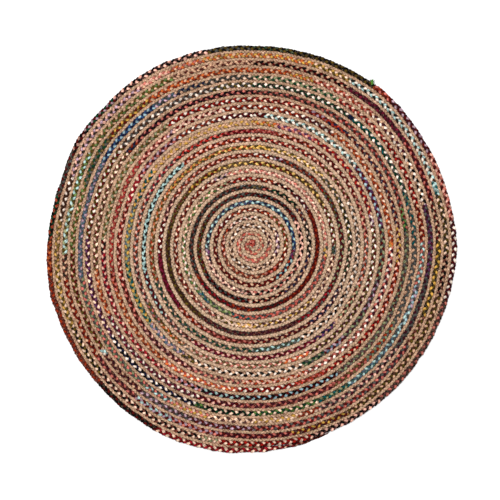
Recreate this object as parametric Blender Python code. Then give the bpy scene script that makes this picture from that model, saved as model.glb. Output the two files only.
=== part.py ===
"""A round rug: a jute braid and a braid of cotton strips, coiled side by side and sewn flat."""

import math

import bpy
import numpy as np

# Driving dimensions, in metres.
PITCH = 0.0232  # one turn: both braids and their two seams
COTTON_WIDTH = 0.0135
SEAM = 0.0003  # between two braids that lie against each other
JUTE_WIDTH = PITCH - COTTON_WIDTH - 2 * SEAM
COTTON_CROWN = 0.0100
COTTON_SHOULDER = 0.0062
JUTE_CROWN = 0.0090
JUTE_SHOULDER = 0.0056

# A turn is a whole round of the coil. The count grows outward and anticlockwise, seen from above, and
# whole numbers lie on the +Y side. Both braids start as points, pinched round a small eye.
PINCH_TURN = -0.79  # where the outer edge of the cotton braid would reach the middle
EYE_RADIUS = 0.0015
TIP_WIDTH = 0.0015

# Columns: degrees past the last whole turn, share of the jute braid's width, share of the cotton braid's
# width. The jute braid runs out first, and the end of the cotton braid is drawn in against the turn
# before it.
WHOLE_TURNS = 25
ENDING = (
    (170, 1.0, 1.0),
    (183, 0.3, 1.0),
    (200, 0.0, 0.35),
)
ENDING_TURNS = [WHOLE_TURNS + degrees / 360 for degrees, _, _ in ENDING]
JUTE_END = ENDING_TURNS[1]
COTTON_END = ENDING_TURNS[2]

# The turns don't share one centre: by the rim it has crept this far.
RIM_RADIUS = 0.6
COIL_START = (0.0002, 0.0123)  # where the eye lies, so that the whole rug is centred
CREEP = (0.0027, -0.0092)
# The outer turns are out of round. Columns: clock angle of a bulge in degrees, its half width in degrees,
# its height at the rim, below zero for a hollow.
BULGES = (
    (5, 14, -0.0045),
    (42, 9, 0.0045),
    (89, 9, 0.0065),
    (128, 14, -0.0025),
    (152, 12, -0.0025),
    (178, 14, -0.0045),
    (257, 9, 0.0050),
    (286, 9, -0.0055),
    (303, 8, 0.0055),
    (329, 12, 0.0050),
)
BULGE_POWER = 3  # how fast the bulges die away inward

# Sections stand every 10 degrees, and every 20 degrees in the inner turns.
SECTIONS_PER_TURN = 36
COARSE_TURNS = 6
TURN_MATCH = 0.002  # nearer than this, two sections are one

JUTE_COLOUR = (0.42, 0.27, 0.15, 1.0)
COTTON_COLOUR = (0.20, 0.06, 0.06, 1.0)
CLOTH_ROUGHNESS = 0.9
SHARP_ANGLE = math.radians(50)


def place(turn, radius):
    """x and y of the point that lies this far out on this turn, with the coil's creep and swells."""
    clock = -math.tau * turn
    reach = radius / RIM_RADIUS
    for facing, half_width, height in BULGES:
        away = (math.degrees(clock) - facing + 180) % 360 - 180
        radius += height * math.exp(-((away / half_width) ** 2)) * reach**BULGE_POWER
    return (
        COIL_START[0] + CREEP[0] * reach + radius * math.sin(clock),
        COIL_START[1] + CREEP[1] * reach + radius * math.cos(clock),
    )


def shares(turn):
    """What is left of the jute and the cotton braid's width on this turn."""
    _, jute, cotton = zip(*ENDING)
    return np.interp(turn, ENDING_TURNS, jute), np.interp(turn, ENDING_TURNS, cotton)


def jute_edges(turn):
    """Inner and outer radius of the jute braid, which lies against the turn before."""
    inner = PITCH * (turn - 1 - PINCH_TURN) + SEAM
    outer = inner + JUTE_WIDTH * shares(turn)[0]
    return max(inner, EYE_RADIUS), outer


def cotton_edges(turn):
    """Inner and outer radius of the cotton braid, which lies outside the jute braid."""
    jute_share, cotton_share = shares(turn)
    inner = PITCH * (turn - 1 - PINCH_TURN) + JUTE_WIDTH * jute_share + 2 * SEAM
    outer = inner + COTTON_WIDTH * cotton_share
    return max(inner, EYE_RADIUS), outer


def section_turns(edges, end):
    """The turns where a braid's sections stand, from its pinched tip to its end."""
    turns = [turn for turn in ENDING_TURNS if turn <= end]
    for step in range(-SECTIONS_PER_TURN, math.ceil(end * SECTIONS_PER_TURN)):
        turn = step / SECTIONS_PER_TURN
        inner, outer = edges(turn)
        if outer - inner < TIP_WIDTH:
            continue
        if turn < COARSE_TURNS and step % 2:
            continue
        if min(abs(turn - other) for other in turns) > TURN_MATCH:
            turns.append(turn)
    return sorted(turns)


def braid(name, edges, end, crown, shoulder, material, collection):
    """Lofts one braid: flat below, upright where it meets its neighbours, and crowned on top.

    Its width changes at both ends while its height stays, so it is a loft and not a swept curve."""
    points = []
    turns = section_turns(edges, end)
    for turn in turns:
        inner, outer = edges(turn)
        corners = (
            (inner, 0.0),
            (outer, 0.0),
            (outer, shoulder),
            ((inner + outer) / 2, crown),
            (inner, shoulder),
        )
        for radius, height in corners:
            points.append((*place(turn, radius), height))
    around = len(corners)
    faces = [tuple(range(around))]
    for row in range(len(turns) - 1):
        for corner in range(around):
            near = row * around + corner
            beside = row * around + (corner + 1) % around
            faces.append((near, near + around, beside + around, beside))
    last = (len(turns) - 1) * around
    faces.append(tuple(reversed(range(last, last + around))))
    mesh = bpy.data.meshes.new(name)
    mesh.from_pydata(points, [], faces)
    mesh.shade_smooth()
    mesh.set_sharp_from_angle(angle=SHARP_ANGLE)
    mesh.materials.append(material)
    solid = bpy.data.objects.new(name, mesh)
    collection.objects.link(solid)
    return solid


def cloth(name, colour):
    """A dull material of one colour."""
    material = bpy.data.materials.new(name)
    material.use_nodes = True
    shader = material.node_tree.nodes["Principled BSDF"]
    shader.inputs["Base Color"].default_value = colour
    shader.inputs["Roughness"].default_value = CLOTH_ROUGHNESS
    shader.inputs["Metallic"].default_value = 0.0
    return material


def main():
    for old in list(bpy.data.objects):
        bpy.data.objects.remove(old, do_unlink=True)
    rug = bpy.data.collections.new("round_jute_rug")
    bpy.context.scene.collection.children.link(rug)
    jute = cloth("jute", JUTE_COLOUR)
    cotton = cloth("cotton_strips", COTTON_COLOUR)
    braid("jute_braid", jute_edges, JUTE_END, JUTE_CROWN, JUTE_SHOULDER, jute, rug)
    braid("cotton_braid", cotton_edges, COTTON_END, COTTON_CROWN, COTTON_SHOULDER, cotton, rug)


main()
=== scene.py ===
# %% [markdown]
# # A round rug plaited from jute and cotton strips
#
# The real rug is two long flat plaits: a narrow one of jute yarns and a wider one of cotton cloth strips in
# many colours. They lie side by side and are coiled together from the middle to the rim, then sewn edge to
# edge. This lesson plaits one repeat of a strand, repeats it into a straight strand, and bends it along the
# coil, which is how the rug itself is made.
#
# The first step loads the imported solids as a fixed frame. Every piece below lies on them, in metres.

# %% Load the frame
import math

import bpy
import numpy as np
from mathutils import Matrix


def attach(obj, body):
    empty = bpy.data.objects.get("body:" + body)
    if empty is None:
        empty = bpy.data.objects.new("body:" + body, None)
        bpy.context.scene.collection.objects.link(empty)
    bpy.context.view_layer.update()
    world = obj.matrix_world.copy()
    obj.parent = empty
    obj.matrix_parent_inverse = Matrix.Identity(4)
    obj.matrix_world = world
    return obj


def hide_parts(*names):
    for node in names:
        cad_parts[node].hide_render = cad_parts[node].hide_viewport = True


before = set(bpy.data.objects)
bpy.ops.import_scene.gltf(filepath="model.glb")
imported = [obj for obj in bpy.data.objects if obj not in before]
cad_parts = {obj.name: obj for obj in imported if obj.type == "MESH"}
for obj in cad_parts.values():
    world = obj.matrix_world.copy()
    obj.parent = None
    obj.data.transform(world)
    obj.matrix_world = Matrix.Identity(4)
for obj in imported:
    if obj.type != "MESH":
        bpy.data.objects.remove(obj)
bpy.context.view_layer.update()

# %% [markdown]
# ## The coil
#
# One turn of the coil is a jute plait and a cotton plait with a narrow seam on either side. Its points
# could be listed one by one, but where a plait lies on a turn is a sum of widths, so a formula is shorter
# and can't slip. Turns are counted outward and anticlockwise, with whole numbers on the far side. The turns
# creep towards the near side as they grow, the outer ones swell and flatten a little, and some lie further
# out or in than even spacing would put them, as in a coil sewn by hand.

# %% Widths of the plaits and the shape of the coil
PITCH = 0.0232  # one turn: both plaits and their two seams
COTTON_WIDTH = 0.0135
SEAM = 0.0003
JUTE_WIDTH = PITCH - COTTON_WIDTH - 2 * SEAM
PINCH_TURN = -0.79  # where the cotton plait's outer edge would reach the middle
EYE_RADIUS = 0.0015  # of the small eye round which both plaits start
RIM_RADIUS = 0.6  # where the creep and the bulges have their full size
COIL_START = (0.0002, 0.0123)  # where the eye lies
CREEP = (0.0027, -0.0092)  # how far the turns' centre has moved by the rim
# Clock angle of a bulge in degrees, its half width in degrees, and its height at the rim, below zero for a
# hollow.
BULGES = (
    (5, 14, -0.0045),
    (42, 9, 0.0045),
    (89, 9, 0.0065),
    (128, 14, -0.0025),
    (152, 12, -0.0025),
    (178, 14, -0.0045),
    (257, 9, 0.0050),
    (286, 9, -0.0055),
    (303, 8, 0.0055),
    (329, 12, 0.0050),
)
BULGE_POWER = 3  # how fast the bulges die away inward
# Where the turns lie further out than even spacing would put them, or below zero further in. Clock angle,
# its half width, distance from the middle, its half depth, and how far out. The first goes all round.
DRIFTS = (
    (0, 1000, 0.42, 0.15, 0.0048),
    (225, 35, 0.42, 0.15, 0.0038),
    (195, 22, 0.27, 0.09, 0.0030),
    (5, 20, 0.40, 0.10, 0.0022),
    (300, 40, 0.24, 0.20, -0.0032),
)
# The turn, and what is left there of the jute and the cotton plait's width.
ENDING = (
    (25 + 170 / 360, 1.0, 1.0),
    (25 + 183 / 360, 0.3, 1.0),
    (25 + 200 / 360, 0.0, 0.35),
)
# Where each plait starts and ends.
JUTE_TURNS = (-0.05, ENDING[1][0])
COTTON_TURNS = (-0.65, ENDING[2][0])


def degrees_past(clock, facing):
    """How far these clock angles lie past the one that a bulge or a drift faces, up to 180 either way."""
    return (np.degrees(clock) - facing + 180) % 360 - 180


def place(turn, radius):
    """x and y of the points that lie this far out on these turns."""
    clock = -math.tau * turn
    reach = radius / RIM_RADIUS
    swollen = radius
    for facing, half_width, height in BULGES:
        away = degrees_past(clock, facing)
        swollen = swollen + height * np.exp(-((away / half_width) ** 2)) * reach**BULGE_POWER
    for facing, half_width, middle, half_depth, height in DRIFTS:
        away = degrees_past(clock, facing)
        deep = (radius - middle) / half_depth
        swollen = swollen + height * np.exp(-((away / half_width) ** 2) - deep**2)
    return (
        COIL_START[0] + CREEP[0] * reach + swollen * np.sin(clock),
        COIL_START[1] + CREEP[1] * reach + swollen * np.cos(clock),
    )


def distance_along(x, y):
    """The distance from the first point of a line to each of its points."""
    return np.concatenate([[0], np.cumsum(np.hypot(np.diff(x), np.diff(y)))])


def shares(turn):
    """What is left of the jute and the cotton plait's width on these turns."""
    ends, jute, cotton = zip(*ENDING)
    return np.interp(turn, ends, jute), np.interp(turn, ends, cotton)


def jute_edges(turn):
    """Inner and outer radius of the jute plait."""
    inner = PITCH * (turn - 1 - PINCH_TURN) + SEAM
    return np.maximum(inner, EYE_RADIUS), inner + JUTE_WIDTH * shares(turn)[0]


def cotton_edges(turn):
    """Inner and outer radius of the cotton plait, outside the jute plait of the same turn."""
    jute_share, cotton_share = shares(turn)
    inner = PITCH * (turn - 1 - PINCH_TURN) + JUTE_WIDTH * jute_share + 2 * SEAM
    return np.maximum(inner, EYE_RADIUS), inner + COTTON_WIDTH * cotton_share


print("rim radius of the last whole turn:", round(float(cotton_edges(25.0)[1]), 4))

# %% [markdown]
# ## Camera, floor and light
#
# The photograph looks straight down, with the rug a little off the middle of the picture. A lens could be
# tried until the rug fills the frame as it should, but it follows at once from the camera's height and from
# how much floor one pixel shows. The floor is plain and pale. One broad lamp overhead and a bright sky give
# the soft, even light of a picture taken for a shop, so the crevices between the strands go dark while the
# floor stays white.

# %% Camera
PHOTO_PIXELS = 500
RUG_PIXELS = 407  # across the rug
RUG_ACROSS = 1.2
PIXEL = RUG_ACROSS / RUG_PIXELS
VIEW_CENTRE = (-0.0059, -0.0029)  # the spot in the middle of the picture
CAMERA_HEIGHT = 3.0

bpy.ops.object.select_all(action="DESELECT")
bpy.ops.object.camera_add(location=(*VIEW_CENTRE, CAMERA_HEIGHT), rotation=(0, 0, 0))
camera = bpy.context.object
camera.name = "camera"
camera.data.lens = camera.data.sensor_width * CAMERA_HEIGHT / (PHOTO_PIXELS * PIXEL)
bpy.context.scene.camera = camera
print("lens:", round(camera.data.lens, 1), "mm")

# %% Floor and light
FLOOR_SIZE = 12.0
FLOOR_DROP = 0.0003  # below the rug's underside
FLOOR_COLOUR = (0.95, 0.95, 0.95, 1)
FLOOR_ROUGHNESS = 0.9
LAMP_PLACE = (-0.6, 0.9, 3.6)
LAMP_TURN = (math.radians(-14), math.radians(-9), 0)
LAMP_SIZE = 3.0
LAMP_POWER = 125
SKY_COLOUR = (1, 1, 1, 1)
SKY_STRENGTH = 0.75

bpy.ops.mesh.primitive_plane_add(size=FLOOR_SIZE, location=(0, 0, -FLOOR_DROP))
floor = bpy.context.object
floor.name = "floor"
floor_paint = bpy.data.materials.new("pale floor")
floor_paint.use_nodes = True
floor_shader = floor_paint.node_tree.nodes["Principled BSDF"]
floor_shader.inputs["Base Color"].default_value = FLOOR_COLOUR
floor_shader.inputs["Roughness"].default_value = FLOOR_ROUGHNESS
floor.data.materials.append(floor_paint)

bpy.ops.object.light_add(type="AREA", location=LAMP_PLACE)
lamp = bpy.context.object
lamp.name = "broad lamp"
lamp.data.shape = "SQUARE"
lamp.data.size = LAMP_SIZE
lamp.data.energy = LAMP_POWER
lamp.rotation_euler = LAMP_TURN

sky = bpy.data.worlds.new("soft sky")
sky.use_nodes = True
sky.node_tree.nodes["Background"].inputs["Color"].default_value = SKY_COLOUR
sky.node_tree.nodes["Background"].inputs["Strength"].default_value = SKY_STRENGTH
bpy.context.scene.world = sky
bpy.context.scene.view_settings.view_transform = "Standard"
print("floor:", FLOOR_SIZE, "m across. lamp:", LAMP_SIZE, "m across,", LAMP_PLACE[2], "m up")

# %% [markdown]
# ## One repeat of a strand
#
# In a flat plait of three, every strand swings from edge to edge and passes over one neighbour, then under
# the other. Seen along the plait that is one wave sideways and two waves up and down. A soft strand is wider
# than it is thick, so its section is a flattened ring. A tube could be bent to this wave by hand, but its
# ends would hardly meet the next repeat's. Instead the section is drawn as a circle, squeezed, and swept
# along one wave as a curve's bevel. Converted to a mesh, it also gets a UV map: U runs once along the
# repeat, V once round the strand. That map later carries the colours and the cloth's creases.

# %% Helpers for picking and applying
def pick(piece):
    """Selects one object alone and makes it active."""
    bpy.ops.object.select_all(action="DESELECT")
    piece.select_set(True)
    bpy.context.view_layer.objects.active = piece


def apply(piece, kind, **settings):
    """Puts one modifier on a piece and applies it."""
    pick(piece)
    modifier = piece.modifiers.new(kind.lower(), kind)
    for name, value in settings.items():
        setattr(modifier, name, value)
    bpy.ops.object.modifier_apply(modifier=modifier.name)


# %% Sweep one repeat
STATIONS = 8  # points on the wave, in each repeat
SECTION_SIDES = 6  # few, because the rug's strands hold about 9400 repeats in all


def strand_repeat(name, repeat, swing, rise, wide, thick):
    """A mesh of one strand's wave: it swings sideways by swing and up and down by rise."""
    bpy.ops.mesh.primitive_circle_add(vertices=SECTION_SIDES, radius=0.5)  # its scale is then its size
    section = bpy.context.object
    section.scale = (wide, thick, 1)
    bpy.ops.object.transform_apply(location=False, rotation=False, scale=True)
    bpy.ops.object.convert(target="CURVE")
    section = bpy.context.object
    wave = bpy.data.curves.new(name, "CURVE")
    wave.dimensions = "3D"
    wave.twist_mode = "Z_UP"
    line = wave.splines.new("POLY")
    line.points.add(STATIONS)
    for step, point in enumerate(line.points):
        swept = math.tau * step / STATIONS
        height = rise + thick / 2 - rise * math.sin(2 * swept)
        point.co = (repeat * step / STATIONS, swing * math.sin(swept), height, 1)
    wave.bevel_mode = "OBJECT"
    wave.bevel_object = section
    strand = bpy.data.objects.new(name, wave)
    bpy.context.scene.collection.objects.link(strand)
    pick(strand)
    bpy.ops.object.convert(target="MESH")
    bpy.data.objects.remove(section, do_unlink=True)
    return bpy.context.object


# %% [markdown]
# ## From a repeat to a plait along the coil
#
# Every point of three strands could be worked out along the spiral. Plaiting straight first and bending
# afterwards is simpler, and it is what the maker's hands do. An Array modifier repeats the wave and welds
# the joints, and moves the UV map on by one for each copy, so that U counts the repeats from the start of
# the strand. Its open ends are filled. The other two strands are copies moved on by a third and two thirds
# of a repeat, with their own band of V. Then a Curve modifier bends the straight plait along the coil's
# line. The line's point radius is the share of the plait's width that is left there, so both ends taper.
# Soft noises then move the mesh a little, so that no two repeats match. Each plait is made in three lengths,
# because one mesh of it all would be too heavy. They meet end to end.

# %% The coil's line
STEPS_PER_TURN = 72
SPARE_TURNS = 0.2  # past the end, for the strands that are moved on
THINNEST = 0.02  # share of the width that is always left


def coil_line(name, edges, full_width, first, last):
    """The line along a plait's middle, with the turn and the distance along it at each point."""
    turns = np.arange(first, last + SPARE_TURNS, 1 / STEPS_PER_TURN)
    inner, outer = edges(turns)
    x, y = place(turns, (inner + outer) / 2)
    along = distance_along(x, y)
    across = np.subtract(place(turns, outer), place(turns, inner))
    width = np.hypot(*across) * np.sign(outer - inner)
    data = bpy.data.curves.new(name, "CURVE")
    data.dimensions = "3D"
    data.twist_mode = "Z_UP"
    line = data.splines.new("POLY")
    line.points.add(len(turns) - 1)
    line.points.foreach_set("co", np.column_stack([x, y, 0 * x, 0 * x + 1]).ravel())
    line.points.foreach_set("radius", np.maximum(width / full_width, THINNEST))
    data.use_radius = True
    curve = bpy.data.objects.new(name, data)
    bpy.context.scene.collection.objects.link(curve)
    return curve, turns, along


# %% A hand's unevenness
SWELL = (0.022, 0.0012)  # size of the swellings along a strand, and their height
LUMP = (0.0085, 0.0013)  # size of the lumps where a strip is bunched, and their height
WANDERS = ((0.060, 0.0030), (0.011, 0.0030))  # size of the wanderings on the floor, and their reach
WAYS = (("X", 1.0), ("Y", 1.1))  # which way, and a share of the size that keeps the two ways apart


def clouds(name, size):
    """A soft noise for Displace modifiers, the same for every piece."""
    texture = bpy.data.textures.new(name, "CLOUDS")
    texture.noise_scale = size
    texture.noise_depth = 0
    return texture


swellings = clouds("swellings", SWELL[0])
lumps = clouds("lumps", LUMP[0])
wanderings = [
    (way, clouds("wandering " + way, size * stretch), reach)
    for size, reach in WANDERS
    for way, stretch in WAYS
]
print("noises that move every piece:", 2 + len(wanderings))


def uneven(piece):
    """Lets a piece's strands swell and thin, and its turns wander a little from the coil."""
    apply(piece, "DISPLACE", texture=swellings, texture_coords="GLOBAL", strength=SWELL[1])
    apply(piece, "DISPLACE", texture=lumps, texture_coords="GLOBAL", strength=LUMP[1])
    for way, texture, reach in wanderings:
        apply(piece, "DISPLACE", texture=texture, texture_coords="GLOBAL", direction=way, strength=reach)


# %% Plait one length of the coil
STRANDS = 3
BAND = 2  # how far apart the strands' bands of V start
WELD = 0.0001


def uv_of(mesh):
    """The mesh's UV map as an array, one row for each face corner."""
    found = np.empty(2 * len(mesh.loops), np.float32)
    mesh.uv_layers[0].data.foreach_get("uv", found)
    return found.reshape(-1, 2)


def fill_ends():
    """Closes the open ends of the picked tube and turns its faces outward."""
    bpy.ops.object.mode_set(mode="EDIT")
    bpy.ops.mesh.select_mode(type="VERT")
    bpy.ops.mesh.select_all(action="DESELECT")
    bpy.ops.mesh.select_non_manifold()
    bpy.ops.mesh.fill_holes(sides=0)
    bpy.ops.mesh.select_all(action="SELECT")
    bpy.ops.mesh.normals_make_consistent(inside=False)
    bpy.ops.object.mode_set(mode="OBJECT")


def plait(name, edges, full_width, turns, repeat, swing, rise, wide, thick):
    """Three strands plaited along the coil over these turns. Returns the piece and each corner's turn."""
    curve, line_turns, along = coil_line(name + "_line", edges, full_width, *turns)
    whole = float(np.interp(turns[1], line_turns, along))
    count = round(whole / repeat)
    repeat = whole / count
    strand = strand_repeat(name, repeat, swing, rise, wide, thick)
    apply(
        strand,
        "ARRAY",
        count=count,
        use_relative_offset=False,
        use_constant_offset=True,
        constant_offset_displace=(repeat, 0, 0),
        use_merge_vertices=True,
        merge_threshold=WELD,
        offset_u=1.0,
    )
    fill_ends()
    strands = [strand]
    for number in range(1, STRANDS):
        pick(strand)
        bpy.ops.object.duplicate()
        copy = bpy.context.object
        copy.location.x = number / STRANDS * repeat
        moved = uv_of(copy.data) + (number / STRANDS, BAND * number)
        copy.data.uv_layers[0].data.foreach_set("uv", moved.ravel())
        strands.append(copy)
    bpy.ops.object.select_all(action="DESELECT")
    for each in strands:
        each.select_set(True)
    bpy.context.view_layer.objects.active = strand
    bpy.ops.object.transform_apply(location=True, rotation=False, scale=False)
    bpy.ops.object.join()
    piece = bpy.context.object
    piece.name = name
    apply(piece, "CURVE", object=curve, deform_axis="POS_X")
    bpy.data.objects.remove(curve, do_unlink=True)
    uneven(piece)
    piece.data.shade_smooth()
    corner_turns = np.interp(uv_of(piece.data)[:, 0] * repeat, along, line_turns)
    triangles = 2 * len(piece.data.polygons)
    print(name, count, "repeats of", round(repeat * 1000, 2), "mm,", triangles, "triangles")
    return piece, corner_turns


# %% [markdown]
# ## The cloths, strip by strip
#
# The cotton plait's colours come from whatever cloth was at hand. A noise could mix them, but it would put
# its reds and blues anywhere, so they are written down strip by strip in a dyer's plain words. Each turn has
# one row. It reads clockwise from the far side, and each stretch gives the angle where it ends and then the
# cloths of its three strands. Two dark strands and a light one make the dark wave with light dots that most
# of this rug shows.

# %% The cloths' colours
# Red, green and blue as a screen shows them, from 0 to 255.
CLOTHS = {
    "black": (10, 5, 4),
    "charcoal": (32, 32, 28),
    "navy": (22, 26, 56),
    "royal": (42, 72, 116),
    "steel": (78, 98, 112),
    "slate": (78, 76, 72),
    "sky": (150, 178, 186),
    "aqua": (176, 208, 202),
    "teal": (6, 78, 78),
    "bottle": (14, 58, 34),
    "leaf": (86, 116, 54),
    "grass": (92, 152, 62),
    "sage": (138, 142, 104),
    "olive": (88, 70, 20),
    "mustard": (204, 156, 70),
    "straw": (246, 198, 114),
    "orange": (198, 98, 46),
    "rust": (142, 44, 16),
    "red": (156, 22, 14),
    "crimson": (144, 18, 32),
    "maroon": (86, 9, 6),
    "brown": (66, 38, 24),
    "plum": (64, 14, 28),
    "raspberry": (108, 18, 44),
    "violet": (96, 50, 88),
    "rose": (196, 106, 94),
    "coral": (186, 80, 66),
    "pink": (236, 178, 158),
    "lilac": (182, 150, 164),
    "tan": (208, 164, 132),
    "cream": (250, 212, 184),
    "white": (255, 236, 218),
}
print(len(CLOTHS), "cloths")

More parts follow.
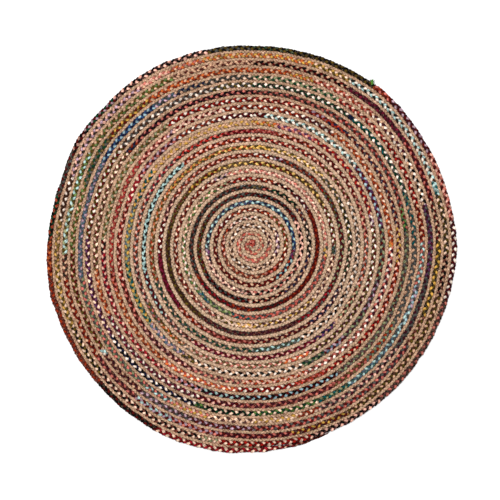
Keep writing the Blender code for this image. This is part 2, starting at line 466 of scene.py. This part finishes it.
# %% The strips of each turn
STRIPS = {
    26: "208 maroon crimson cream, 229 black maroon black, 262 rust maroon maroon, 272 orange rust maroon, "
    "285 black bottle rust, 298 charcoal slate maroon, 305 maroon black pink, 317 bottle maroon lilac, "
    "347 plum black pink, 360 black olive slate",
    25: "12 black olive bottle, 37 black olive black, 43 maroon rust rose, 62 plum maroon lilac, "
    "82 maroon rose pink, 105 maroon plum white, 140 plum black rose, 163 plum black pink, "
    "190 red maroon cream, 195 tan sage cream, 230 maroon black cream, 246 olive black cream, "
    "263 olive mustard cream, 278 olive mustard tan, 292 brown brown white, 318 black lilac pink, "
    "325 plum lilac pink, 335 rose pink tan, 345 rose tan orange, 360 mustard tan orange",
    24: "18 orange mustard tan, 30 mustard olive cream, 50 charcoal aqua white, 70 brown aqua white, "
    "74 aqua teal aqua, 92 black olive cream, 105 maroon black tan, 150 olive brown tan, "
    "168 maroon mustard plum, 190 maroon plum rose, 205 maroon lilac rose, 218 maroon aqua lilac, "
    "235 maroon plum rose, 260 maroon rust tan, 268 maroon black tan, 284 olive sage aqua, "
    "300 olive leaf aqua, 320 olive leaf tan, 335 leaf olive tan, 360 maroon tan tan",
    23: "31 black maroon tan, 55 plum plum raspberry, 75 plum maroon rose, 88 black maroon tan, "
    "112 black olive mustard, 122 olive maroon tan, 140 plum slate rose, 180 maroon rose slate, "
    "200 plum maroon lilac, 218 plum slate lilac, 234 maroon plum tan, 236 aqua aqua white, "
    "268 maroon olive tan, 290 leaf olive tan, 307 bottle olive slate, 325 maroon olive mustard, "
    "360 orange rust tan",
    22: "12 orange rust tan, 20 orange mustard tan, 42 rust cream rose, 58 plum tan white, "
    "76 black tan white, 100 plum slate violet, 125 plum slate slate, 158 plum slate pink, "
    "165 rust cream rust, 180 cream tan mustard, 195 tan cream plum, 208 mustard cream rose, "
    "218 aqua rose slate, 260 rose slate sage, 300 steel steel lilac, 325 royal navy sky, "
    "333 steel lilac slate, 345 navy slate tan, 360 charcoal slate cream",
    21: "30 bottle sage cream, 50 coral maroon cream, 75 red maroon cream, 88 rust maroon tan, "
    "103 rose slate aqua, 112 slate lilac sky, 120 sky slate aqua, 132 slate steel aqua, "
    "145 teal steel aqua, 157 teal bottle sage, 180 bottle leaf cream, 197 black bottle cream, "
    "200 bottle leaf bottle, 238 black navy white, 273 violet plum cream, 308 maroon olive white, "
    "345 brown slate white, 360 olive slate white",
    20: "36 black bottle white, 38 navy navy navy, 55 bottle teal white, 70 bottle slate white, "
    "75 teal slate sage, 90 slate teal tan, 118 slate slate tan, 135 slate rust sage, "
    "150 maroon olive rose, 185 maroon rose plum, 200 plum maroon pink, 220 plum raspberry white, "
    "245 raspberry plum white, 262 orange rust tan, 307 maroon olive cream, 312 navy rust navy, "
    "360 plum black rose",
    19: "28 maroon charcoal rose, 75 maroon slate rose, 79 leaf maroon sage, 84 leaf rose bottle, "
    "100 brown slate sage, 115 maroon slate sage, 146 plum slate sage, 180 black maroon sky, "
    "200 black plum aqua, 210 black lilac rose, 218 plum pink rose, 250 crimson maroon pink, "
    "268 crimson plum pink, 273 charcoal maroon cream, 325 sage tan olive, 360 red maroon white",
    18: "22 red maroon cream, 30 red maroon lilac, 39 red navy rust, 82 navy maroon tan, "
    "96 plum mustard tan, 118 rust maroon pink, 150 red maroon tan, 163 red rust rose, "
    "186 maroon red white, 218 orange coral cream, 252 orange rust tan, 260 rust maroon rose, "
    "307 red crimson tan, 322 rose maroon pink, 326 plum lilac pink, 347 pink cream maroon, "
    "360 maroon rust white",
    17: "20 maroon rust white, 35 plum maroon white, 88 rust orange cream, 90 mustard mustard orange, "
    "125 plum rose white, 157 maroon rose white, 184 rust tan pink, 205 plum rose tan, "
    "235 maroon plum pink, 255 maroon maroon rose, 290 red maroon pink, 303 crimson crimson cream, "
    "325 plum rose lilac, 345 plum rust white, 360 maroon plum white",
    16: "5 maroon white maroon, 52 charcoal aqua white, 75 maroon violet sky, 82 plum violet aqua, "
    "105 maroon slate sage, 120 plum slate lilac, 135 plum slate sage, 146 steel lilac maroon, "
    "157 bottle slate sage, 180 charcoal tan white, 200 black tan white, 207 black tan white, "
    "213 olive charcoal tan, 233 steel lilac tan, 262 teal mustard sage, 290 steel mustard sage, "
    "308 teal mustard tan, 360 tan mustard tan",
    15: "11 mustard orange tan, 30 rose violet pink, 75 raspberry red tan, 80 lilac white plum, "
    "112 maroon olive white, 152 olive plum cream, 165 coral orange cream, 210 olive rose cream, "
    "215 slate tan cream, 230 orange olive tan, 242 olive slate rose, 262 maroon slate pink, "
    "292 rust slate pink, 318 crimson slate pink, 345 red black rose, 360 crimson maroon rose",
    14: "12 red crimson rose, 30 maroon rust pink, 62 maroon maroon cream, 85 maroon rose tan, "
    "110 rust slate pink, 130 maroon sage tan, 133 tan cream tan, 146 navy violet tan, "
    "180 maroon raspberry pink, 212 raspberry maroon pink, 218 charcoal maroon pink, "
    "232 maroon slate pink, 257 plum maroon aqua, 303 aqua aqua black, 320 charcoal aqua aqua, "
    "360 rust maroon pink",
    13: "35 red maroon cream, 42 maroon rust pink, 64 maroon olive pink, 118 white tan black, "
    "152 black tan white, 180 bottle slate aqua, 222 bottle slate tan, 250 bottle slate tan, "
    "275 rust olive tan, 303 olive orange tan, 335 orange olive mustard, 360 straw olive orange",
    12: "10 straw mustard olive, 45 straw olive cream, 62 olive slate cream, 85 charcoal olive white, "
    "107 bottle brown cream, 115 black tan white, 128 navy plum cream, 143 plum navy pink, "
    "180 maroon plum tan, 210 maroon maroon rose, 230 maroon rust pink, 265 raspberry raspberry maroon, "
    "285 maroon maroon white, 302 plum maroon pink, 325 maroon rust pink, 360 rust maroon pink",
    11: "13 rust maroon white, 20 slate lilac maroon, 48 maroon slate rust, 52 red rust slate, "
    "70 maroon slate olive, 115 maroon sage plum, 150 maroon slate crimson, 180 plum maroon plum, "
    "215 plum charcoal maroon, 285 brown olive brown, 310 olive maroon olive, 335 maroon olive mustard, "
    "360 brown olive straw",
    10: "30 olive maroon straw, 60 olive brown straw, 90 olive maroon white, 96 teal slate bottle, "
    "110 cream tan maroon, 130 plum tan cream, 180 cream mustard plum, 192 tan mustard cream, "
    "207 cream cream olive, 225 maroon rose cream, 330 maroon rust cream, 340 black lilac cream, "
    "360 rose cream tan",
    9: "30 rose cream pink, 60 pink cream rose, 90 cream rose tan, 98 slate mustard tan, "
    "180 coral slate rose, 197 coral teal rose, 218 leaf slate sage, 230 teal steel sage, "
    "275 leaf tan white, 330 leaf tan cream, 340 maroon sage tan, 360 red maroon cream",
    8: "18 rust maroon cream, 40 black maroon cream, 57 plum maroon white, 150 maroon maroon rust, "
    "180 maroon charcoal maroon, 200 maroon plum rust, 235 maroon charcoal crimson, "
    "242 rust maroon maroon, 360 charcoal slate maroon",
    7: "10 charcoal slate olive, 17 maroon charcoal rose, 48 black bottle tan, 65 navy maroon tan, "
    "100 charcoal black cream, 145 navy plum tan, 180 maroon black tan, 182 tan tan cream, "
    "240 maroon black slate, 300 maroon olive charcoal, 360 maroon slate charcoal",
    6: "45 black maroon slate, 60 maroon slate maroon, 115 pink pink black, 180 rose cream black, "
    "190 black maroon pink, 250 cream pink plum, 258 plum navy pink, 264 lilac white violet, "
    "330 navy slate aqua, 360 navy royal aqua",
    5: "50 navy steel aqua, 95 navy royal aqua, 107 raspberry slate violet, 145 rust navy aqua, "
    "300 maroon maroon tan, 322 maroon maroon white, 360 maroon rust cream",
    4: "30 rust maroon cream, 57 rust olive pink, 95 rust olive cream, 127 maroon rust cream, "
    "155 rust maroon rose, 250 maroon rust tan, 280 maroon rust pink, 290 tan pink rust, "
    "310 rust maroon tan, 360 white pink brown",
    3: "60 white tan brown, 110 cream lilac plum, 180 cream tan brown, 240 white tan brown, "
    "290 cream tan brown, 360 white tan brown",
    2: "45 white tan brown, 90 cream tan plum, 200 coral tan rose, 360 pink coral tan",
    1: "180 coral tan tan, 360 coral tan rose",
    0: "360 coral rose tan",
}


# %% Read the strips in the order in which they were plaited
def linear(colour):
    """Screen colour from 0 to 255 as the light it stands for."""
    share = np.array(colour) / 255
    return np.where(share <= 0.04045, share / 12.92, ((share + 0.055) / 1.055) ** 2.4)


def strips_in_order():
    """Where each stretch starts along the coil, and the colours of its three strands."""
    starts, colours = [], []
    for turn in sorted(STRIPS):
        rows = [row.split() for row in STRIPS[turn].split(",")]
        for clock, *names in reversed(rows):
            starts.append(turn - float(clock) / 360)
            colours.append([linear(CLOTHS[name]) for name in names])
    return np.array(starts), np.array(colours)


strip_starts, strip_colours = strips_in_order()
print(len(strip_starts), "stretches, each of three strips")

# %% Dye the strands
STRIP_SHADES = 0.10  # how far one strip's shade strays from its cloth's
SHADE_LIMITS = (0.6, 1.4)
PRINTED_SHARE = 0.25  # of the strips
SHADE_SEED = 11


def paint_corners(piece, values):
    """Writes a cloth's colour, and whether a print shows, on the corners of a piece's faces."""
    layer = piece.data.color_attributes.new("cloth", "FLOAT_COLOR", "CORNER")
    layer.data.foreach_set("color", values.astype(np.float32).ravel())


def dye(piece, corner_turns):
    """Gives each strand the colours of its cloths, one stretch after another."""
    chance = np.random.default_rng(SHADE_SEED)
    shades = chance.normal(1, STRIP_SHADES, strip_colours.shape[:2])
    printed = chance.random(strip_colours.shape[:2]) < PRINTED_SHARE
    shaded = strip_colours * np.clip(shades, *SHADE_LIMITS)[..., None]
    strand = np.round((uv_of(piece.data)[:, 1] - 0.5) / BAND).astype(int)
    strand = np.clip(strand, 0, STRANDS - 1)
    stretch = np.clip(np.searchsorted(strip_starts, corner_turns) - 1, 0, len(shaded) - 1)
    paint_corners(piece, np.column_stack([shaded[stretch, strand], printed[stretch, strand]]))


# %% [markdown]
# ## Cloth and jute
#
# Torn cotton strips are matt, creased along their length, and a little uneven in colour where they fade.
# Some show a print. Jute is a pale, dry, hairy fibre with streaks along it. One of its three yarns is paler
# than the others, and dark specks grow more common towards the rim. A picture of cloth would repeat and need
# a file, so noises make all of it. The cotton reads the strand's own colour, and a noise stretched along the
# UV map creases it, with painted shade that is darker in the creases and lighter on the folds between them.
# Both get a painted shade, darker and browner with depth, because light hardly reaches down between strands
# that are pulled tight.

# %% Helpers for materials
FIBRE_ROUGHNESS = 0.95
FIBRE_GLOSS = 0.1
# Shares of a plait's height: below the first the painted shade is full, above the second there is none.
SHADE_DEPTHS = (0.45, 0.86)


def surface(name):
    """A new material with a matt shader. Returns the material, its tree and its shader."""
    material = bpy.data.materials.new(name)
    material.use_nodes = True
    shader = material.node_tree.nodes["Principled BSDF"]
    shader.inputs["Roughness"].default_value = FIBRE_ROUGHNESS
    shader.inputs["Specular IOR Level"].default_value = FIBRE_GLOSS
    return material, material.node_tree, shader


def position(tree):
    """Where a point lies on the rug."""
    return tree.nodes.new("ShaderNodeTexCoord").outputs["Object"]


def stretched(tree, scale):
    """The UV map's coordinates, stretched."""
    uv = tree.nodes.new("ShaderNodeUVMap")
    uv.uv_map = "UVMap"
    mapping = tree.nodes.new("ShaderNodeMapping")
    mapping.inputs["Scale"].default_value = scale
    tree.links.new(uv.outputs["UV"], mapping.inputs["Vector"])
    return mapping.outputs["Vector"]


def noise(tree, vector, scale=1.0, detail=2.0):
    """A noise that reads this vector. Returns its value's socket."""
    texture = tree.nodes.new("ShaderNodeTexNoise")
    texture.inputs["Scale"].default_value = scale
    texture.inputs["Detail"].default_value = detail
    tree.links.new(vector, texture.inputs["Vector"])
    return texture.outputs["Fac"]


def between(tree, value, low, high, to_low=0.0, to_high=1.0):
    """Maps a value from one range to another, and holds it there."""
    ranged = tree.nodes.new("ShaderNodeMapRange")
    for name, number in zip(("From Min", "From Max", "To Min", "To Max"), (low, high, to_low, to_high)):
        ranged.inputs[name].default_value = number
    tree.links.new(value, ranged.inputs["Value"])
    return ranged.outputs["Result"]


def scaled(tree, colour, value):
    """A colour made lighter or darker by a value."""
    scale = tree.nodes.new("ShaderNodeVectorMath")
    scale.operation = "SCALE"
    tree.links.new(colour, scale.inputs["Vector"])
    tree.links.new(value, scale.inputs["Scale"])
    return scale.outputs["Vector"]


def mixed(tree, share, first, second, blend="MIX"):
    """Two colours mixed by a share. Each is a socket or a screen colour."""
    mix = tree.nodes.new("ShaderNodeMix")
    mix.data_type = "RGBA"
    mix.blend_type = blend
    tree.links.new(share, mix.inputs["Factor"])
    for name, colour in (("A", first), ("B", second)):
        socket = next(s for s in mix.inputs if s.name == name and s.type == "RGBA")
        if isinstance(colour, bpy.types.NodeSocket):
            tree.links.new(colour, socket)
        else:
            socket.default_value = (*linear(colour), 1)
    return next(s for s in mix.outputs if s.type == "RGBA")


def multiplied(tree, first, second):
    """Two values multiplied. The second is a socket or a number."""
    product = tree.nodes.new("ShaderNodeMath")
    product.operation = "MULTIPLY"
    tree.links.new(first, product.inputs[0])
    if isinstance(second, bpy.types.NodeSocket):
        tree.links.new(second, product.inputs[1])
    else:
        product.inputs[1].default_value = second
    return product.outputs["Value"]


def with_painted_shade(tree, colour, crown, shade_colour):
    """A colour darkened by a painted shade, from none near a plait's crown to full at its middle."""
    parts = tree.nodes.new("ShaderNodeSeparateXYZ")
    tree.links.new(position(tree), parts.inputs["Vector"])
    depth = between(tree, parts.outputs["Z"], SHADE_DEPTHS[0] * crown, SHADE_DEPTHS[1] * crown, 1.0, 0.0)
    return mixed(tree, depth, colour, shade_colour, blend="MULTIPLY")


def bumped(tree, shader, height, strength, distance):
    """Raises the surface by a height."""
    bump = tree.nodes.new("ShaderNodeBump")
    bump.inputs["Strength"].default_value = strength
    bump.inputs["Distance"].default_value = distance
    tree.links.new(height, bump.inputs["Height"])
    tree.links.new(bump.outputs["Normal"], shader.inputs["Normal"])


# %% Cotton cloth
COTTON_CROWN = 0.0104  # height of the plait's crown
# colour of the painted shade deep between the cotton strands
COTTON_PAINTED_SHADE = (116, 66, 54)
CREASES = (3.4, 11, 1)  # creases along a repeat, and round the strip
CREASE_BUMP = (0.8, 0.0015)  # strength, and height in metres
FADE_SCALE = 90
PRINT_SCALE = 600
PRINT_COLOUR = (214, 182, 150)
PRINT_STRENGTH = 0.35
# A noise's low and high value, and the shade or share that each stands for.
FADING = (0.3, 0.7, 0.58, 1.3)
# painted shade of the creases: darker in a crease, lighter on the raised fold beside it
CREASE_PAINTED_SHADE = (0.36, 0.6, 0.28, 1.19)
PRINT_MARKS = (0.6, 0.66, 0.0, 1.0)


def cotton_cloth():
    """Faded cloth in each strip's colour, painted shade in creases and deep down, pale marks on prints."""
    material, tree, shader = surface("cotton strips")
    cloth = tree.nodes.new("ShaderNodeAttribute")
    cloth.attribute_name = "cloth"
    faded = between(tree, noise(tree, position(tree), FADE_SCALE), *FADING)
    creases = noise(tree, stretched(tree, CREASES), detail=3)
    # painted shade of the creases, darker in them and lighter on the folds between
    crease_shade = between(tree, creases, *CREASE_PAINTED_SHADE)
    marks = between(tree, noise(tree, position(tree), PRINT_SCALE, detail=0), *PRINT_MARKS)
    marks = multiplied(tree, multiplied(tree, marks, cloth.outputs["Alpha"]), PRINT_STRENGTH)
    colour = mixed(tree, marks, scaled(tree, cloth.outputs["Color"], faded), PRINT_COLOUR)
    # painted shade: darker and browner deep between the strands
    colour = with_painted_shade(tree, scaled(tree, colour, crease_shade), COTTON_CROWN, COTTON_PAINTED_SHADE)
    tree.links.new(colour, shader.inputs["Base Color"])
    bumped(tree, shader, creases, *CREASE_BUMP)
    return material


cotton_material = cotton_cloth()
print(cotton_material.name, "made of", len(cotton_material.node_tree.nodes), "nodes")

# %% Jute yarn
OUTER_TURNS = (0.34, 0.44)  # distance from the middle over which the outer turns' look sets in
JUTE_CROWNS = {"heart": 0.0090, "middle": 0.0065}  # rough height of the plait's crown
# colour of the painted shade deep between the jute strands
JUTE_PAINTED_SHADE = (112, 72, 52)
FIBRES = (6, 24, 1)  # streaks along a repeat, and round the yarn
FIBRE_BUMP = (0.9, 0.0012)
PATCH_SCALE = 150
SPECK_SCALE = 260
JUTE_COLOUR = (222, 198, 163)
WARM_JUTE = (214, 178, 154)
BROWN_JUTE = (182, 142, 112)
OUTER_JUTE = (255, 249, 244)
SPECK_COLOUR = (122, 76, 60)
# A low and a high value, and the shade or share that each stands for.
WARMTH = (0.38, 0.62, 0.0, 1.0)
STREAKS = (0.35, 0.62, 0.5, 1.17)
PATCHES = (0.35, 0.65, 0.70, 1.24)
SPECKS = (0.48, 0.64, 0.0, 1.0)
SPECKS_SHOWN = (0.0, 1.0, 0.2, 0.6)
BROWN_YARNS = (1.2, 1.8, 0.0, 0.5)  # by V: all but the first yarn


def jute_yarn(name, crown):
    """Streaked yarn, one strand paler than the others, more dark specks outward, painted shade deep down."""
    material, tree, shader = surface(name)
    warm = between(tree, noise(tree, position(tree), PATCH_SCALE), *WARMTH)
    away = tree.nodes.new("ShaderNodeVectorMath")
    away.operation = "LENGTH"
    tree.links.new(position(tree), away.inputs[0])
    outer = between(tree, away.outputs["Value"], *OUTER_TURNS)
    fibres = noise(tree, stretched(tree, FIBRES), detail=4)
    streaks = between(tree, fibres, *STREAKS)
    patches = between(tree, noise(tree, position(tree), PATCH_SCALE, detail=1), *PATCHES)
    band = tree.nodes.new("ShaderNodeSeparateXYZ")
    tree.links.new(stretched(tree, (1, 1, 1)), band.inputs["Vector"])
    browner = between(tree, band.outputs["Y"], *BROWN_YARNS)
    colour = mixed(tree, warm, JUTE_COLOUR, WARM_JUTE)
    colour = mixed(tree, browner, colour, BROWN_JUTE)
    colour = mixed(tree, outer, colour, OUTER_JUTE, blend="MULTIPLY")
    colour = scaled(tree, scaled(tree, colour, streaks), patches)
    specks = between(tree, noise(tree, position(tree), SPECK_SCALE, detail=1), *SPECKS)
    shown = between(tree, outer, *SPECKS_SHOWN)
    colour = mixed(tree, multiplied(tree, specks, shown), colour, SPECK_COLOUR)
    # painted shade: darker and browner deep between the strands
    colour = with_painted_shade(tree, colour, crown, JUTE_PAINTED_SHADE)
    tree.links.new(colour, shader.inputs["Base Color"])
    bumped(tree, shader, fibres, *FIBRE_BUMP)
    return material


jute_materials = {
    "heart": jute_yarn("jute yarn", JUTE_CROWNS["heart"]),
    "middle": jute_yarn("flatter jute yarn", JUTE_CROWNS["middle"]),
}
jute_materials["rim"] = jute_materials["middle"]
print("jute:", sorted({material.name for material in jute_materials.values()}))

# %% [markdown]
# ## Plait the rug
#
# The two plaits are made length by length, from the middle to the rim. One size of strand could serve them
# all, but on the real rug the cotton looks wider towards the rim and the jute flatter, so each length has
# its own. Each stands for its part of the plain solid below it, which is then hidden and stays for
# collision.

# %% The three lengths of each plait
LENGTH_ENDS = (14.8, 19.4)  # turns where one length meets the next
# How long a repeat is, how far a strand swings and rises from its middle, how wide and how thick it is.
COTTON = {
    "heart": dict(repeat=0.032, swing=0.0034, rise=0.0028, wide=0.0067, thick=0.0048),
    "middle": dict(repeat=0.032, swing=0.0041, rise=0.0028, wide=0.0076, thick=0.0048),
    "rim": dict(repeat=0.032, swing=0.0045, rise=0.0028, wide=0.0081, thick=0.0048),
}
JUTE = {
    "heart": dict(repeat=0.030, swing=0.0029, rise=0.0021, wide=0.0062, thick=0.0048),
    "middle": dict(repeat=0.030, swing=0.0028, rise=0.0015, wide=0.0059, thick=0.0038),
    "rim": dict(repeat=0.030, swing=0.0028, rise=0.0015, wide=0.0059, thick=0.0038),
}


def lengths(turns):
    """The plait's turns, cut where its three lengths meet."""
    stops = (turns[0], *LENGTH_ENDS, turns[1])
    return dict(zip(("heart", "middle", "rim"), zip(stops, stops[1:])))


def belong(piece, material, solid=None):
    """Gives a piece its material and its place in the frame, and hides the solid that it stands for."""
    piece.data.materials.append(material)
    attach(piece, "root")
    if solid:
        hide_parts(solid)


cotton_pieces, jute_pieces = {}, {}
for part, turns in lengths(COTTON_TURNS).items():
    piece, corner_turns = plait("cotton_" + part, cotton_edges, COTTON_WIDTH, turns, **COTTON[part])
    dye(piece, corner_turns)
    belong(piece, cotton_material, "cotton_braid")
    cotton_pieces[part] = piece
for part, turns in lengths(JUTE_TURNS).items():
    piece, corner_turns = plait("jute_" + part, jute_edges, JUTE_WIDTH, turns, **JUTE[part])
    belong(piece, jute_materials[part], "jute_braid")
    jute_pieces[part] = piece

# %% [markdown]
# ## Lace the turns together
#
# The real plaits are joined with a twine that goes from an edge loop of one plait to an edge loop of its
# neighbour, again and again. Little of it shows, but it closes the gaps between the scalloped edges. Its
# browns are darker than plain twine, a painted shade of the deep seam. Each stitch could be a piece of its
# own, but there are thousands. So each of the two seams is one curve that zigzags along the coil, with a
# square bevel.

# %% A round strand along any line
def tube(name, paths, radius, closed=False, rounding=2):
    """A mesh of strands along these paths, each a list of points and of shares of the radius."""
    data = bpy.data.curves.new(name, "CURVE")
    data.dimensions = "3D"
    data.bevel_depth = radius
    data.bevel_resolution = rounding
    data.use_fill_caps = not closed
    for points, widths in paths:
        line = data.splines.new("POLY")
        line.use_cyclic_u = closed
        line.points.add(len(points) - 1)
        line.points.foreach_set("co", np.column_stack([points, np.ones(len(points))]).ravel())
        line.points.foreach_set("radius", widths)
    strand = bpy.data.objects.new(name, data)
    bpy.context.scene.collection.objects.link(strand)
    pick(strand)
    bpy.ops.object.convert(target="MESH")
    strand = bpy.context.object
    uneven(strand)
    strand.data.shade_smooth()
    print(name, sum(len(face.vertices) - 2 for face in strand.data.polygons), "triangles")
    return strand


# %% The twine in both seams
TWINE_STEP = 0.0107  # one edge loop
TWINE_ZIGZAG = 0.0008
TWINE_RADIUS = 0.0017
TWINE_HEIGHT = 0.0030
TWINE_STARTS = (0.0, -0.2)  # turns where the inner and the outer seam begin
FINE_STEP = 0.002  # part of a turn, small enough to measure the coil by
# the twine's own brown, darkened by a painted shade of the deep seam
TWINE_SHADED_BROWNS = ((120, 84, 64), (176, 136, 108))
TWINE_SCALE = 500
TWINE_FIBRES = (0.35, 0.65, 0.7, 1.1)
TWINE_BUMP = (0.6, 0.0008)


def lace(name, radius_at, first):
    """A twine that zigzags along a seam of the coil, from this turn to the end of the jute."""
    fine = np.arange(first, JUTE_TURNS[1], FINE_STEP)
    along = distance_along(*place(fine, radius_at(fine)))
    stitches = np.interp(np.arange(0, along[-1], TWINE_STEP), along, fine)
    side = np.where(np.arange(len(stitches)) % 2, 1, -1)
    x, y = place(stitches, radius_at(stitches) + side * TWINE_ZIGZAG)
    print(name, len(stitches), "stitches")
    points = np.column_stack([x, y, 0 * x + TWINE_HEIGHT])
    return tube(name, [(points, np.ones(len(stitches)))], TWINE_RADIUS, rounding=0)


def twine_fibre():
    """Dull twine in two browns, darker than plain twine as a painted shade of the seam."""
    material, tree, shader = surface("lacing twine")
    fibres = between(tree, noise(tree, position(tree), TWINE_SCALE), *TWINE_FIBRES)
    colour = mixed(tree, fibres, *TWINE_SHADED_BROWNS)
    tree.links.new(colour, shader.inputs["Base Color"])
    bumped(tree, shader, fibres, *TWINE_BUMP)
    return material


twine_material = twine_fibre()
twines = [
    lace("twine_inside", lambda turn: jute_edges(turn)[0] - SEAM / 2, TWINE_STARTS[0]),
    lace("twine_outside", lambda turn: cotton_edges(turn)[0] - SEAM / 2, TWINE_STARTS[1]),
]
for twine in twines:
    belong(twine, twine_material)

# %% [markdown]
# ## The knot in the middle and a loose end on the rim
#
# The plait starts from a knot of coral strips, which fills the eye of the coil. It could be a plain round
# lump, but a knot pulled tight is a trefoil, so a formula gives its line. On the rim one green strip ends in
# a frayed tuft, whose threads are drawn at random from a fixed seed.

# %% The knot
KNOT_SCALE = 0.0021  # a third of how far the knot's line reaches
KNOT_HEIGHT = 0.0050  # of its middle
KNOT_RISE = 0.0020  # how far the line goes over and under itself
KNOT_RADIUS = 0.0022  # of its strand
KNOT_POINTS = 42


def trefoil():
    """Points along a trefoil that lies in the eye of the coil."""
    swept = np.linspace(0, math.tau, KNOT_POINTS, endpoint=False)
    return np.column_stack(
        [
            COIL_START[0] + KNOT_SCALE * (np.sin(swept) + 2 * np.sin(2 * swept)),
            COIL_START[1] + KNOT_SCALE * (np.cos(swept) - 2 * np.cos(2 * swept)),
            KNOT_HEIGHT - KNOT_RISE * np.sin(3 * swept),
        ]
    )


def dye_plain(piece, name):
    """Dyes a whole small piece in one cloth's colour, unprinted, and puts it in its place in the frame."""
    paint_corners(piece, np.tile([*linear(CLOTHS[name]), 0.0], len(piece.data.loops)))
    belong(piece, cotton_material)


knot = tube("knot", [(trefoil(), np.ones(KNOT_POINTS))], KNOT_RADIUS, closed=True)
dye_plain(knot, "coral")

# %% The loose green end
LOOSE_TURN = 25 - 36 / 360
LOOSE_ROOT = 0.006  # how far inside the rim the threads start
LOOSE_THREADS = 16
LOOSE_POINTS = 5
LOOSE_REACH = 0.017
LOOSE_SHORTEST = 0.7  # share of the reach
LOOSE_SPREAD = 0.9  # radians either way
LOOSE_CURL = 0.5  # radians either way, from root to tip
LOOSE_HEIGHT = 0.0080
LOOSE_RISE = (-0.006, 0.002)  # how far a tip lies above the root, at least and at most
LOOSE_TAPER = 0.6  # share of its radius that a thread loses
LOOSE_RADIUS = 0.0010
LOOSE_SEED = 5


def frayed_end():
    """Short threads that fan out over the rim from one root."""
    chance = np.random.default_rng(LOOSE_SEED)
    root = np.array(place(LOOSE_TURN, cotton_edges(LOOSE_TURN)[1] - LOOSE_ROOT))
    outward = math.pi / 2 + math.tau * LOOSE_TURN
    way = np.linspace(0, 1, LOOSE_POINTS)
    paths = []
    for _ in range(LOOSE_THREADS):
        fanned = outward + chance.uniform(-LOOSE_SPREAD, LOOSE_SPREAD)
        facing = fanned + way * chance.uniform(-LOOSE_CURL, LOOSE_CURL)
        away = way * LOOSE_REACH * chance.uniform(LOOSE_SHORTEST, 1)
        height = LOOSE_HEIGHT + way * chance.uniform(*LOOSE_RISE)
        points = [root[0] + away * np.cos(facing), root[1] + away * np.sin(facing), height]
        paths.append((np.column_stack(points), 1 - LOOSE_TAPER * way))
    return tube("loose_end", paths, LOOSE_RADIUS)


loose_end = frayed_end()
dye_plain(loose_end, "grass")
